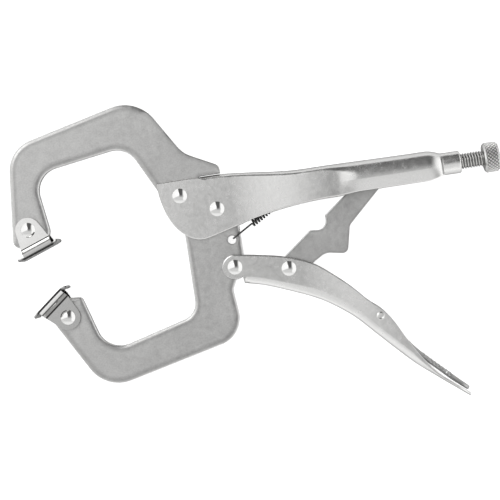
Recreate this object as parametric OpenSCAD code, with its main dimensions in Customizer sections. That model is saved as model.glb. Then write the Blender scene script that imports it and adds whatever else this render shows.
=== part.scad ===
// Locking C clamp, 11 inch size, lying on its side.
// X runs along the adjusting screw towards the knob, Y towards the fixed jaw, Z up.
// Every outline below is measured from the main pivot, and place() moves it to the footprint's centre.

/* [Layout] */
// Main pivot from the footprint's centre, along X
pivot_x = -22.9; // [-30:0.1:-15]
// Main pivot from the footprint's centre, along Y
pivot_y = 29.9; // [20:0.1:40]

/* [Jaws] */
// Thickness of both jaw plates
jaw_t = 6.4; // [5.6:0.1:6.4]
// Radius of the lower jaw's eye around the main pivot
eye_r = 11.2; // [10.4:0.1:11.2]
// Radius of the hole that the return spring hooks into
spring_hole_r = 2.4; // [2:0.1:2.8]

/* [Handles] */
// Thickness of the handles' sheet
sheet_t = 2.0; // [1.6:0.1:2]
// Free room on each side of a jaw between the handle's walls
side_gap = 0.2; // [0.1:0.05:0.25]
// Half width of the upper handle's rear barrel
barrel_r = 8.9; // [8.6:0.1:9.2]
// Half width of the lower handle's grip
grip_w = 8.2; // [8:0.1:8.6]

/* [Pads] */
// Length of a pad's face
pad_l = 26; // [24:1:28]
// Width of a pad's face
pad_w = 19; // [18:0.5:20]
// Distance from a pad's rivet to its face
pad_face = 14.5; // [14:0.1:15]
// Thickness of a pad's sheet
pad_t = 1.5; // [1.3:0.1:1.6]
// Radius of a pad's ears around its rivet
ear_r = 7.2; // [6.8:0.1:7.6]

/* [Rivets] */
// Shank radius of the pivot rivets
shank_r = 3.0; // [2.6:0.1:3.2]
// Head radius of the rivets
head_r = 4.2; // [4:0.1:4.6]
// Height of a rivet's domed head
head_h = 1.9; // [1.5:0.1:2.2]
// Radial clearance of a shank in its hole
fit = 0.05; // [0.02:0.01:0.08]

/* [Screw] */
// Outer diameter of the adjusting screw's thread
thread_d = 9.52; // [9.4:0.02:9.6]
// Thread pitch
pitch = 1.5875; // [1.5:0.0125:1.6]
// Outer diameter of the knurled knob
knob_d = 17.4; // [16:0.2:18]
// Gap between the link's end and the screw's tip with the clamp open
tip_gap = 2.2; // [2.2:0.1:3]

/* [Hidden] */
$fn = 64;
arc_step = 9;
eps = 0.01;

steel = [0.72, 0.72, 0.71];
bright = [0.85, 0.85, 0.85];
spring_steel = [0.15, 0.15, 0.15];

// Pivot centres, with the clamp open
jaw_rivet = [-20.1, 10.5];
handle_pivot = [5.2, -34.7];
link_pivot = [35.7, -40];
link_end = [96.5, 6.1];
lever_pivot = [83.7, -74.8];
spring_hole = [5.8, -18.8];
spring_anchor = [51.6, 8];
upper_pad_pivot = [-109.3, 4.1];
lower_pad_pivot = [-94, -48.8];
upper_pad_turn = 20;
lower_pad_turn = 218.4;

inner_w = jaw_t / 2 + side_gap;
plate_w = inner_w + sheet_t;
screw_y = link_end.y;

// ---------- helpers ----------

function unit(v) = v / norm(v);
function turned(v, a) = [v.x * cos(a) - v.y * sin(a), v.x * sin(a) + v.y * cos(a)];
function ramp(x, a, b) = let (s = min(1, max(0, (x - a) / (b - a)))) s * s * (3 - 2 * s);

// Arc that rounds the corner b between its neighbours a and c; a corner is [x, y, radius]
function corner_arc(a, b, c) =
    let (
        u = unit([a.x - b.x, a.y - b.y]),
        v = unit([c.x - b.x, c.y - b.y]),
        half = acos(u * v) / 2,
        centre = [b.x, b.y] + unit(u + v) * b.z / sin(half),
        first = [b.x, b.y] + u * b.z / tan(half) - centre,
        sweep = (cross(u, v) < 0 ? 1 : -1) * (180 - 2 * half),
        n = max(1, ceil(abs(sweep) / arc_step))
    )
    [for (k = [0:n]) centre + turned(first, sweep * k / n)];

// Outline through a list of corners, each rounded to its own radius
function rounded(list) =
    let (n = len(list))
    [for (i = [0:n - 1])
        each (list[i].z > 0
            ? corner_arc(list[(i + n - 1) % n], list[i], list[(i + 1) % n])
            : [[list[i].x, list[i].y]])];

// Point where the line from p touches the circle (c, r)
function touch(p, c, r, side) =
    let (d = p - c, a = atan2(d.y, d.x) + side * acos(r / norm(d)))
    c + r * [cos(a), sin(a)];

// Smooth curve through hand-set points [x, y], read at x
function span(p, x, i = 0) = (i >= len(p) - 2 || x < p[i + 1].x) ? i : span(p, x, i + 1);
function slope(p, i) =
    let (a = p[max(0, i - 1)], b = p[min(len(p) - 1, i + 1)]) (b.y - a.y) / (b.x - a.x);
function curve(p, x) =
    let (i = span(p, x), h = p[i + 1].x - p[i].x, s = (x - p[i].x) / h)
    (1 + 2 * s) * pow(1 - s, 2) * p[i].y + s * pow(1 - s, 2) * h * slope(p, i)
    + s * s * (3 - 2 * s) * p[i + 1].y + s * s * (s - 1) * h * slope(p, i + 1);

module place() {
    translate([pivot_x, pivot_y, pad_w / 2]) children();
}

// Flat plate centred on Z = 0
module plate(outline, t) {
    translate([0, 0, -t / 2]) linear_extrude(t) polygon(outline);
}

// Straight bore along Z
module bore(at, r) {
    translate([at.x, at.y, -20]) cylinder(r = r, h = 40);
}

// Rivet along Z with a domed head at each end; grip is half the clamped thickness
module rivet(at, grip, shank, head) {
    dome = (pow(head, 2) + pow(head_h, 2)) / (2 * head_h);
    sweep = asin(head / dome);
    cap = [for (k = [0:5]) let (a = sweep * (1 - k / 5)) [dome * sin(a), dome * cos(a) - dome + head_h]];
    half = concat([[shank, 0]], [[shank, grip]], [for (p = cap) [p.x, p.y + grip]]);
    translate([at.x, at.y, 0])
        rotate_extrude()
            polygon(concat(half, [for (k = [len(half) - 1:-1:1]) [half[k].x, -half[k].y]]));
}

// ---------- formed sheet channel ----------

arc_n = 4;

// One cross-section at x: web is the closed side, edge the open side, w the half width
function channel_ring(x, w, r, web, edge, t, web_t) =
    let (
        s = sign(web - edge),
        tall = abs(web - edge),
        floor_t = min(web_t, tall - 0.7),
        rr = min(r, w - 0.4, tall - 0.3),
        ri = max(rr - t, 0.3),
        riy = max(rr - floor_t, 0.1),
        wi = w - t,
        outer = [for (k = [0:arc_n]) let (a = 90 * k / arc_n)
            [w - rr + rr * cos(a), web - s * rr + s * rr * sin(a)]],
        inner = [for (k = [0:arc_n]) let (a = 90 * k / arc_n)
            [wi - ri + ri * cos(a), web - s * (floor_t + riy) + s * riy * sin(a)]],
        n = arc_n
    )
    [for (p = concat(
        [[w, edge]], outer,
        [for (k = [n:-1:0]) [-outer[k].x, outer[k].y]], [[-w, edge]],
        [[-wi, edge]], [for (k = [0:n]) [-inner[k].x, inner[k].y]],
        [for (k = [n:-1:0]) inner[k]], [[wi, edge]]))
        [x, p.y, s * p.x]];

// Skin over a list of rings that all have the same number of points, listed clockwise seen along +X
module loft(rings, hollow = true) {
    m = len(rings);
    n = len(rings[0]);
    last = (m - 1) * n;
    sides = [for (i = [0:m - 2]) for (j = [0:n - 1]) let (k = (j + 1) % n)
        each [
            [i * n + j, (i + 1) * n + k, (i + 1) * n + j],
            [i * n + j, i * n + k, (i + 1) * n + k]
        ]];
    // A channel's end is a strip of quads between its outer and inner points
    start = hollow
        ? [for (j = [0:n / 2 - 2]) each [[j, n - 2 - j, j + 1], [j, n - 1 - j, n - 2 - j]]]
        : [[for (j = [n - 1:-1:0]) j]];
    end = [for (f = start) [for (j = [len(f) - 1:-1:0]) last + f[j]]];
    polyhedron(points = [for (ring = rings) each ring], faces = concat(sides, start, end), convexity = 8);
}

// ---------- upper handle ----------

nose_x = -10;
nose_a = 22.3;
nose_b = 34.8;
web_start = -7;
shoulder_x = 118;
barrel_end = 131;
neck_end = 142.6;
neck_r = 6.5;
seat_start = 123;
tab_l = 5.4;
tab_h = 9;
tab_t = 2.4;
tab_hole_r = 1.2;

function upper_web(x) =
    19.7 - 4.1 * ramp(x, 0, 52) - (15.6 - screw_y - barrel_r) * ramp(x, 60, shoulder_x)
    - (barrel_r - neck_r - 0.4) * ramp(x, shoulder_x, barrel_end + 1);
function upper_edge(x) =
    x < nose_x ? -16.2 + nose_b * (1 - sqrt(1 - pow((nose_x - x) / nose_a, 2)))
    : x < 15 ? -16.2 + 0.27 * pow(x - nose_x, 2) / (x - nose_x + 2.5)
    : x < 66 ? -3.3 - 6.6 * pow((66 - x) / 51, 1.9)
    : -3.3 + 1.0 * ramp(x, 66, 80);
function upper_w(x) =
    plate_w + 2.4 * ramp(x, 15, 40) + (barrel_r - plate_w - 2.4) * ramp(x, 66, 80)
    - (barrel_r - neck_r - 0.4) * ramp(x, shoulder_x, barrel_end + 1);
function upper_r(x) =
    x < web_start ? 0.8 : 2.6 + 1.2 * ramp(x, 15, 45) + (barrel_r - 3.9) * ramp(x, 66, 84)
    - (barrel_r - neck_r - 0.4) * ramp(x, shoulder_x, barrel_end + 1);

module upper_handle_skin() {
    nose = [for (a = [88, 80, 70, 60, 48, 36, 24, 12]) nose_x - nose_a * sin(a)];
    middle = [-10, -7.3, -6.7, -3, 2, 8, 15, 20, 25, 30, 35, 40, 46, 53, 60, 66, 69, 72, 75, 78, 81, 85];
    rear = [100, shoulder_x, 121, 124, 127, 129, barrel_end];
    loft([for (x = concat(nose, middle, rear))
        channel_ring(x, upper_w(x), upper_r(x), upper_web(x), upper_edge(x), sheet_t, sheet_t)]);
}

// Closed end that carries the thread, a little inside the skin
module thread_seat() {
    inset = 0.4;
    loft([for (x = [seat_start, 125, 127, 129, barrel_end - 0.4])
        let (ring = channel_ring(x, upper_w(x) - inset, upper_r(x) - inset,
            upper_web(x) - inset, upper_edge(x) + 0.3 + 2.2 * ramp(x, 126, 132), 1, 1))
        [for (j = [0:2 * arc_n + 3]) ring[j]]], hollow = false);
    translate([seat_start + 2, screw_y, 0]) rotate([0, 90, 0]) cylinder(r = neck_r, h = neck_end - seat_start - 2);
}

module upper_handle() {
    color(steel) place() difference() {
        union() {
            upper_handle_skin();
            thread_seat();
            // Tab under the web that holds the spring
            translate([spring_anchor.x - tab_l / 2, spring_anchor.y - tab_l / 2, -tab_t / 2])
                cube([tab_l, tab_h, tab_t]);
        }
        // Slot between the walls for the upper jaw
        translate([-40, 0, -inner_w]) cube([40 + web_start, 30, 2 * inner_w]);
        bore(jaw_rivet, shank_r + fit);
        bore([0, 0], shank_r + fit);
        translate([spring_anchor.x, spring_anchor.y, -tab_t]) cylinder(r = tab_hole_r, h = 2 * tab_t);
        translate([seat_start - 3, screw_y, 0]) rotate([0, 90, 0])
            cylinder(r = thread_d / 2 + fit, h = neck_end - seat_start + 6);
    }
}

// ---------- upper jaw ----------

upper_jaw_corners = [
    [-119.6, -6.4, 4.5], [-113.9, 51.9, 19], [-36.6, 70.6, 21.7], [-14.7, 34.7, 17],
    [4.8, 24.75, 3.5], [4.8, 20.2, 0.6], [-7.6, 20.2, 0.6], [-7.6, 9.3, 0.5],
    [-23.4, -6.2, 2], [-32, 14.5, 30], [-46.6, 43.6, 13.5], [-101.7, 35.2, 13.5],
    [-96.2, -3.6, 7]
];

module upper_jaw() {
    color(steel) place() difference() {
        plate(rounded(upper_jaw_corners), jaw_t);
        bore(jaw_rivet, shank_r + fit);
        bore(upper_pad_pivot, shank_r + fit);
    }
}

// ---------- lower jaw ----------

lower_jaw_shoulder = [-20.5, -11.5];
lower_jaw_corners = [
    [-20.4, -58.3, 10.4], [-74.5, -72.7, 13.9], [-84.6, -38.6, 2.5], [-97.5, -37.5, 7],
    [-105.6, -45.6, 6], [-78.4, -93.8, 20.5], [5, -74.3, 16], [2.2, -47.5, 4],
    [5.2, -41.3, 2], [eye_r, -41, 5]
];

module lower_jaw() {
    start = touch(lower_jaw_shoulder, [0, 0], eye_r, -1);
    outline = rounded(concat(
        [[0, 0, 0], [start.x, start.y, 0], [lower_jaw_shoulder.x, lower_jaw_shoulder.y, 1]],
        lower_jaw_corners, [[eye_r, 0, 0]]));
    color(steel) place() difference() {
        union() {
            plate(outline, jaw_t);
            translate([0, 0, -jaw_t / 2]) cylinder(r = eye_r, h = jaw_t);
        }
        bore([0, 0], shank_r + fit);
        bore(handle_pivot, shank_r + fit);
        bore(spring_hole, spring_hole_r);
        bore(lower_pad_pivot, shank_r + fit);
    }
}

// ---------- lower handle ----------

handle_eye_r = 7.3;
handle_web_start = 9.4;
tail_start = 120;
tail_end = 128.4;
lower_top = [
    [handle_pivot.x, handle_pivot.y + handle_eye_r], [20, -29.8], [35, -33], [50, -39.1],
    [60, -46.6], [70, -55.6], [78, -64.3], [85, -70.4], [91, -78.8], [97, -90.4],
    [104, -102], [112, -112], [120, -119.1], [tail_end, -125.9]
];
lower_web = [
    [9, -44.5], [20, -47.3], [35, -53], [50, -59.7], [60, -66], [70, -74], [80, -84.5],
    [90, -95], [100, -105], [110, -113.4], [120, -121.5], [tail_end, -128.2]
];

function eye_y(x, side) = handle_pivot.y + side * sqrt(max(0.04, pow(handle_eye_r, 2) - pow(x - handle_pivot.x, 2)));
function handle_top(x) = x < handle_pivot.x ? eye_y(x, 1) : curve(lower_top, x);
function handle_web(x) = x < handle_web_start ? eye_y(x, -1) : curve(lower_web, x);
function handle_web_t(x) = x < handle_web_start ? sheet_t / 2
    : sheet_t * (1 - 0.25 * ramp(x, 100, 118)) * norm([1, curve(lower_web, x + 0.5) - curve(lower_web, x - 0.5)]);
function handle_w(x) =
    (plate_w + (grip_w - plate_w) * ramp(x, 48, 80))
    * (x > tail_start ? sqrt(1 - 0.7 * pow((x - tail_start) / (tail_end - tail_start), 2)) : 1);
function handle_r(x) = x < handle_web_start ? 0.6 : 3 + 1.6 * ramp(x, 20, 60);

module lower_handle() {
    ear = [for (a = [86, 75, 60, 45, 30, 15, 0]) handle_pivot.x - handle_eye_r * sin(a)];
    body = [handle_web_start - 0.2, handle_web_start + 0.2, 14, 20, 26, 32, 38, 44, 50, 56, 62, 67, 72, 77, 82];
    tail = [85, 88, 91, 94, 97, 101, 105, 109, 113, 117, tail_start, 122, 124, 126, 127.4, tail_end];
    color(steel) place() difference() {
        loft([for (x = concat(ear, body, tail))
            channel_ring(x, handle_w(x), handle_r(x), handle_web(x), handle_top(x),
                sheet_t * (1 - 0.2 * ramp(x, 100, 118)), handle_web_t(x))]);
        // Gap between the two ears
        translate([-10, -60, -inner_w]) cube([10 + handle_web_start, 60, 2 * inner_w]);
        bore(handle_pivot, shank_r + fit);
        bore(link_pivot, shank_r + fit);
        bore(lever_pivot, 2 + fit);
    }
}

// ---------- toggle link ----------

link_t = 5;
link_eye_r = 6.5;
link_tip_r = 4.5;

module toggle_link() {
    upper = [51, -20.2];
    lower = [58, -34.2];
    bevel = [73.6, -3.4];
    flank = [74.3, -20.6];
    eye_top = touch(upper, link_pivot, link_eye_r, 1);
    eye_low = touch(lower, link_pivot, link_eye_r, -1);
    tip_top = touch(bevel, link_end, link_tip_r, -1);
    tip_low = touch(flank, link_end, link_tip_r, 1);
    color(steel) place() difference() {
        union() {
            plate(rounded([
                [eye_top.x, eye_top.y, 0], [upper.x, upper.y, 0.8], [61.4, -21.3, 5.5],
                [61, -12.9, 0.8], [bevel.x, bevel.y, 2], [tip_top.x, tip_top.y, 0],
                [link_end.x, link_end.y, 0], [tip_low.x, tip_low.y, 0],
                [flank.x, flank.y, 5], [70.8, -36.6, 3.6], [lower.x, lower.y, 8],
                [eye_low.x, eye_low.y, 0], [link_pivot.x, link_pivot.y, 0]]), link_t);
            for (end = [[link_pivot, link_eye_r], [link_end, link_tip_r]])
                translate([end[0].x, end[0].y, -link_t / 2]) cylinder(r = end[1], h = link_t);
        }
        bore(link_pivot, shank_r + fit);
    }
}

// ---------- release lever ----------

lever_t = 4.8;
lever_tail_w = 10.6;
lever_tail_x = 97;
lever_corners = [
    [67.2, -59.4, 1.2], [76.5, -67.4, 8], [84.6, -69.6, 4], [90.2, -81, 8], [100, -95, 12],
    [115, -110.2, 20], [127.2, -122, 1], [128.4, -123.7, 0.8], [127, -124.3, 0.6],
    [119, -117.5, 10], [112, -110.6, 10], [100, -99, 12], [86, -82, 8], [77, -74, 8], [68.2, -65, 1.5]
];

module release_lever() {
    outline = rounded(lever_corners);
    color(steel) place() difference() {
        union() {
            plate(outline, lever_t);
            // Wide tail with cross ridges for the finger
            intersection() {
                plate(outline, lever_tail_w);
                translate([lever_tail_x, -140, -10]) cube([40, 60, 20]);
            }
            for (k = [0:5])
                translate([105 + 2.6 * k, -100.1 - 2.6 * k, -lever_tail_w / 2 + 0.6])
                    cylinder(r = 0.9, h = lever_tail_w - 1.2);
        }
        bore(lever_pivot, 2 + fit);
    }
}

// ---------- pads ----------

fold_y = -8.5;
ear_in = jaw_t / 2 + 0.3;

// Pad with its rivet at the origin and its clamping face towards -Y
module pad() {
    base_y = -pad_face + pad_t;
    half = pad_w / 2;
    ear_out = ear_in + pad_t;
    lip_x = 9;
    section = [
        [ear_out, 9], [ear_out, fold_y], [half, base_y + 0.9], [half, base_y - 0.6],
        [-half, base_y - 0.6], [-half, base_y + 0.9], [-ear_out, fold_y], [-ear_out, 9],
        [-ear_in, 9], [-ear_in, fold_y - 0.6], [-half + 1.9, base_y], [half - 1.9, base_y],
        [ear_in, fold_y - 0.6], [ear_in, 9]
    ];
    side = touch([lip_x, fold_y], [0, 0], ear_r, 1);
    union() {
        intersection() {
            translate([-lip_x, 0, 0]) rotate([90, 0, 90]) linear_extrude(2 * lip_x)
                polygon([for (p = section) [p.y, p.x]]);
            union() {
                plate([[lip_x, -20], [lip_x, fold_y], side, [-side.x, side.y],
                    [-lip_x, fold_y], [-lip_x, -20]], 30);
                translate([0, 0, -15]) cylinder(r = ear_r, h = 30);
            }
        }
        plate(rounded([
            [-pad_l / 2 + 2.6, -pad_face, 3], [pad_l / 2 - 2.6, -pad_face, 3],
            [pad_l / 2, -pad_face + 0.9, 0.3], [pad_l / 2 - 0.3, -pad_face + 0.9 + pad_t, 0.3],
            [pad_l / 2 - 3.2, base_y, 3], [-pad_l / 2 + 3.2, base_y, 3],
            [-pad_l / 2 + 0.3, -pad_face + 0.9 + pad_t, 0.3], [-pad_l / 2, -pad_face + 0.9, 0.3]]), pad_w);
    }
}

module placed_pad(at, turn) {
    color(steel) place() difference() {
        translate([at.x, at.y, 0]) rotate(turn) pad();
        bore(at, shank_r + fit);
    }
}

module upper_pad() {
    placed_pad(upper_pad_pivot, upper_pad_turn);
}

module lower_pad() {
    placed_pad(lower_pad_pivot, lower_pad_turn);
}

// ---------- rivets ----------

module upper_jaw_rivet() {
    color(bright) place() rivet(jaw_rivet, plate_w, shank_r, head_r);
}

module main_pivot_rivet() {
    color(bright) place() rivet([0, 0], plate_w, shank_r, head_r);
}

module handle_rivet() {
    color(bright) place() rivet(handle_pivot, plate_w, shank_r, head_r);
}

module link_rivet() {
    color(bright) place() rivet(link_pivot, plate_w, shank_r, head_r);
}

module lever_pin() {
    w = handle_w(lever_pivot.x) + 0.3;
    color(bright) place() translate([lever_pivot.x, lever_pivot.y, -w]) cylinder(r = 2, h = 2 * w);
}

module upper_pad_rivet() {
    color(bright) place() rivet(upper_pad_pivot, ear_in + pad_t, shank_r, head_r);
}

module lower_pad_rivet() {
    color(bright) place() rivet(lower_pad_pivot, ear_in + pad_t, shank_r, head_r);
}

// ---------- return spring ----------

wire_r = 0.5;
bend_r = 0.62;
coil_r = 2.7;
coil_z = 1.9;
face_z = jaw_t / 2 + wire_r + 0.25;

// Straight wire between two points
module wire(a, b) {
    d = b - a;
    translate(a) rotate([0, acos(d.z / norm(d)), atan2(d.y, d.x)]) cylinder(r = wire_r, h = norm(d));
}

// Wire through a list of points, with a ball at each bend
module bent_wire(points) {
    for (i = [0:len(points) - 2]) wire(points[i], points[i + 1]);
    for (i = [1:len(points) - 2]) translate(points[i]) sphere(r = bend_r);
}

// Closed coil with a hook over the lower jaw's face and another through the upper handle's tab
module return_spring() {
    along = unit(spring_anchor - spring_hole);
    function at(s, z) = let (p = spring_hole + along * s) [p.x, p.y, z];
    reach = norm(spring_anchor - spring_hole);
    coil_start = 15;
    coil_l = 29;
    color(spring_steel) place() union() {
        bent_wire([at(1.4, -jaw_t / 2 - 0.6), at(1.4, face_z), at(7.5, face_z), at(coil_start - 1.5, coil_z),
            at(coil_start + 1, coil_z)]);
        bent_wire([at(coil_start + coil_l - 1, coil_z), at(reach, coil_z), at(reach, -coil_z)]);
        translate(at(coil_start, 0)) rotate([0, 90, atan2(along.y, along.x)]) cylinder(r = coil_r, h = coil_l);
    }
}

// ---------- adjusting screw ----------

tip_x = link_end.x + link_tip_r + tip_gap;
tip_end = tip_x + 9;
knob_x = 156.2;
knob_end = 165;

module along_screw(x) {
    translate([x, screw_y, 0]) rotate([0, 90, 0]) children();
}

// Plain round end that bears on the toggle link
module screw_tip() {
    r = thread_d / 2 - 1.3;
    color(bright) place() along_screw(tip_x)
        rotate_extrude() polygon([[0, 0], [r - 0.8, 0], [r, 0.8], [r, tip_end - tip_x], [0, tip_end - tip_x]]);
}

module adjusting_screw() {
    crest = thread_d / 2;
    root = crest - 0.65 * pitch;
    turns = floor((knob_x - 1 - tip_end) / pitch);
    groove = [for (k = [0:turns - 1]) each [
        [crest, k * pitch + 0.3 * pitch], [crest, k * pitch + 0.4 * pitch],
        [root, k * pitch + 0.85 * pitch], [root, k * pitch + 0.95 * pitch]]];
    run = knob_x - tip_end - eps;
    rim = 0.9;
    knob_l = knob_end - knob_x;
    color(steel) place() along_screw(tip_end + eps)
        rotate_extrude() polygon(concat(
            [[0, 0], [root, 0]], groove,
            [[crest - 0.3, run - 0.8], [crest + 1.2, run], [knob_d / 2 - rim, run], [knob_d / 2, run + rim],
            [knob_d / 2, run + knob_l - 1.5], [knob_d / 2 - 1.5, run + knob_l], [0, run + knob_l]]));
}

upper_handle();
upper_jaw();
upper_jaw_rivet();
main_pivot_rivet();
return_spring();
lower_jaw();
handle_rivet();
lower_handle();
link_rivet();
lever_pin();
toggle_link();
release_lever();
upper_pad();
upper_pad_rivet();
lower_pad();
lower_pad_rivet();
screw_tip();
adjusting_screw();
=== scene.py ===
"""Locking C clamp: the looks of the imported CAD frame.

Lengths are in millimetres from the main pivot, with Z from the clamp's mid-plane.
"""

import math

import bmesh
import bpy
from mathutils import Matrix, Vector
from mathutils.geometry import tessellate_polygon


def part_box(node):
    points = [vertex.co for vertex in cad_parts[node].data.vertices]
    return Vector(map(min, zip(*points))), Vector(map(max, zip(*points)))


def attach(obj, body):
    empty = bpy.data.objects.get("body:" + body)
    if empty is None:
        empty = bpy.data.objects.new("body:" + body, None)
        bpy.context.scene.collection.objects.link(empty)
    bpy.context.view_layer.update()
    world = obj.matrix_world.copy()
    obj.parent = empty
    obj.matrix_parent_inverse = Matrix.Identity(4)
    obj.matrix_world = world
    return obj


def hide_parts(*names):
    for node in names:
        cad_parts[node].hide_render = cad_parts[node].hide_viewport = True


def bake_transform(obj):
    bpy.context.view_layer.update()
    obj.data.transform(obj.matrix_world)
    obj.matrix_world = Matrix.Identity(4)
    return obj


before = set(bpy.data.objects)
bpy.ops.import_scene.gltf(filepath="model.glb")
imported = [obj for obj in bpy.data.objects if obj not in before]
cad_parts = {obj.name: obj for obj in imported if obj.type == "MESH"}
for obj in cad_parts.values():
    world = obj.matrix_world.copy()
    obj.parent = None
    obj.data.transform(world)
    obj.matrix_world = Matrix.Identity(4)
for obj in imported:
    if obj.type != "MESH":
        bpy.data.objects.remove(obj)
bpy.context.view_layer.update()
scene = bpy.context.scene

MM = 0.001
pivot_lo, pivot_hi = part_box("main_pivot_rivet")
ORIGIN = (pivot_lo + pivot_hi) / 2

# Pivots
JAW_RIVET = (-20.1, 10.5)
HANDLE_PIVOT = (5.2, -34.7)
LINK_PIVOT = (35.7, -40.0)
LINK_END = (96.5, 6.1)
LEVER_PIVOT = (83.7, -74.8)
SPRING_HOLE = (5.8, -18.8)
SPRING_ANCHOR = (51.6, 8.0)
UPPER_PAD = (-109.3, 4.1)
LOWER_PAD = (-94.0, -48.8)
UPPER_PAD_TURN = 20.0
LOWER_PAD_TURN = 218.4

# Thicknesses, half widths and radii
JAW_T = 6.4
LINK_T = 5.0
LEVER_T = 4.8
SHEET_T = 2.0
INNER_W = 3.4
PLATE_W = 5.4
BARREL_R = 8.9
GRIP_W = 8.2
RIVET_HOLE_R = 3.05
PIN_HOLE_R = 2.05
SPRING_HOLE_R = 2.4

SCREW_Y = 6.1
CAMERA_TURN = 8.6


def at(x, y, z=0.0):
    return Vector((ORIGIN.x + x * MM, ORIGIN.y + y * MM, ORIGIN.z + z * MM))


# ---------- shape helpers ----------


def unit(v):
    n = math.hypot(v[0], v[1])
    return (v[0] / n, v[1] / n)


def ramp(x, a, b):
    s = min(1.0, max(0.0, (x - a) / (b - a)))
    return s * s * (3 - 2 * s)


def curve(points, x):
    """Smooth curve through given points (x, y), read at x."""
    i = 0
    while i < len(points) - 2 and x >= points[i + 1][0]:
        i += 1

    def slope(k):
        a, b = points[max(0, k - 1)], points[min(len(points) - 1, k + 1)]
        return (b[1] - a[1]) / (b[0] - a[0])

    h = points[i + 1][0] - points[i][0]
    s = (x - points[i][0]) / h
    return (
        (1 + 2 * s) * (1 - s) ** 2 * points[i][1]
        + s * (1 - s) ** 2 * h * slope(i)
        + s * s * (3 - 2 * s) * points[i + 1][1]
        + s * s * (s - 1) * h * slope(i + 1)
    )


def arc(centre, r, a0, a1, step=5.0):
    """Points on a circle from angle a0 to a1, in degrees."""
    n = max(2, math.ceil(abs(a1 - a0) / step))
    return [
        (
            centre[0] + r * math.cos(math.radians(a0 + (a1 - a0) * k / n)),
            centre[1] + r * math.sin(math.radians(a0 + (a1 - a0) * k / n)),
        )
        for k in range(n + 1)
    ]


def angle_of(p, centre):
    return math.degrees(math.atan2(p[1] - centre[1], p[0] - centre[0]))


def touch(p, c, r, side):
    """Point where the line from p touches the circle (c, r)."""
    d = (p[0] - c[0], p[1] - c[1])
    a = math.atan2(d[1], d[0]) + side * math.acos(r / math.hypot(*d))
    return (c[0] + r * math.cos(a), c[1] + r * math.sin(a))


def rounded(corners, step=5.0):
    """Outline through corners (x, y, radius), each rounded to its own radius."""
    out = []
    n = len(corners)
    for i, b in enumerate(corners):
        a, c = corners[i - 1], corners[(i + 1) % n]
        if b[2] <= 0:
            out.append((b[0], b[1]))
            continue
        u = unit((a[0] - b[0], a[1] - b[1]))
        v = unit((c[0] - b[0], c[1] - b[1]))
        half = math.acos(max(-1.0, min(1.0, u[0] * v[0] + u[1] * v[1]))) / 2
        m = unit((u[0] + v[0], u[1] + v[1]))
        centre = (b[0] + m[0] * b[2] / math.sin(half), b[1] + m[1] * b[2] / math.sin(half))
        start = (b[0] + u[0] * b[2] / math.tan(half), b[1] + u[1] * b[2] / math.tan(half))
        turn = 180 - 2 * math.degrees(half)
        sweep = turn if u[0] * v[1] - u[1] * v[0] < 0 else -turn
        a0 = angle_of(start, centre)
        out += arc(centre, b[2], a0, a0 + sweep, step)
    return out


def area(points):
    return sum(
        p[0] * q[1] - q[0] * p[1] for p, q in zip(points, points[1:] + points[:1])
    ) / 2


def dense(points, longest=2.5):
    """The same closed outline with its long edges divided and double points removed."""
    out = []
    n = len(points)
    for i, p in enumerate(points):
        q = points[(i + 1) % n]
        d = math.hypot(q[0] - p[0], q[1] - p[1])
        if d < 0.02:
            continue
        k = max(1, math.ceil(d / longest))
        out += [(p[0] + (q[0] - p[0]) * j / k, p[1] + (q[1] - p[1]) * j / k) for j in range(k)]
    return out


def circle(centre, r, n=40):
    angles = [2 * math.pi * k / n for k in range(n)]
    return [(centre[0] + r * math.cos(a), centre[1] + r * math.sin(a)) for a in angles]


# ---------- pieces ----------


def piece(name, verts, faces, body, material, replaces=(), slot=None, angle=40, normals=None,
          marks=None, painted_shade=None, turn_out=True):
    """A closed mesh from points in millimetres. marks and the painted shade give each point a
    number from
    0 to 1: 1 on worn edges, and 1 where shade is painted darkest into the colour."""
    mesh = bpy.data.meshes.new(name)
    mesh.from_pydata([at(*v) for v in verts], [], faces)
    if turn_out:
        bm = bmesh.new()
        bm.from_mesh(mesh)
        bmesh.ops.recalc_face_normals(bm, faces=bm.faces)
        bm.to_mesh(mesh)
        bm.free()
    mesh.update()
    mesh.shade_smooth()
    if normals:
        mesh.normals_split_custom_set_from_vertices(normals)
    elif angle < 180:
        mesh.set_sharp_from_angle(angle=math.radians(angle))
    for key, values in (("edge", marks), ("painted_shade", painted_shade)):
        attribute = mesh.attributes.new(key, "FLOAT", "POINT")
        attribute.data.foreach_set("value", values or [0.0] * len(mesh.vertices))
    mesh.materials.append(material)
    made = bpy.data.objects.new(name, mesh)
    scene.collection.objects.link(made)
    if body:
        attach(made, body)
    for node in replaces:
        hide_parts(node)
    return made


# Turns in radians between an outline's edges: one that narrows the bevel, and a sharp corner
SMALL_TURN, SHARP_TURN = 0.02, 1.2
SHARP_WIDTH = 0.15
WIDTH_SLOPE = 0.5


def edge_widths(points, bevel):
    """A bevel's width at each point of an outline: smaller at tight corners, changing slowly."""
    n = len(points)
    limit = []
    for i in range(n):
        a, b, c = points[i - 1], points[i], points[(i + 1) % n]
        u, v = (b[0] - a[0], b[1] - a[1]), (c[0] - b[0], c[1] - b[1])
        lu, lv = math.hypot(*u), math.hypot(*v)
        turn = math.atan2(u[0] * v[1] - u[1] * v[0], u[0] * v[0] + u[1] * v[1])
        width = bevel(b)
        if turn >= SHARP_TURN:
            width = min(width, SHARP_WIDTH)
        elif turn > SMALL_TURN:
            width = min(width, 0.75 * (lu + lv) / 2 / (2 * math.tan(turn / 2)))
        limit.append(width)
    out = list(limit)
    for direction in (1, -1, 1, -1):
        order = range(2 * n) if direction > 0 else range(2 * n, 0, -1)
        for k in order:
            i, j = k % n, (k - direction) % n
            gap = math.hypot(points[i][0] - points[j][0], points[i][1] - points[j][1])
            out[i] = min(out[i], out[j] + WIDTH_SLOPE * gap)
    return out


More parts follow.
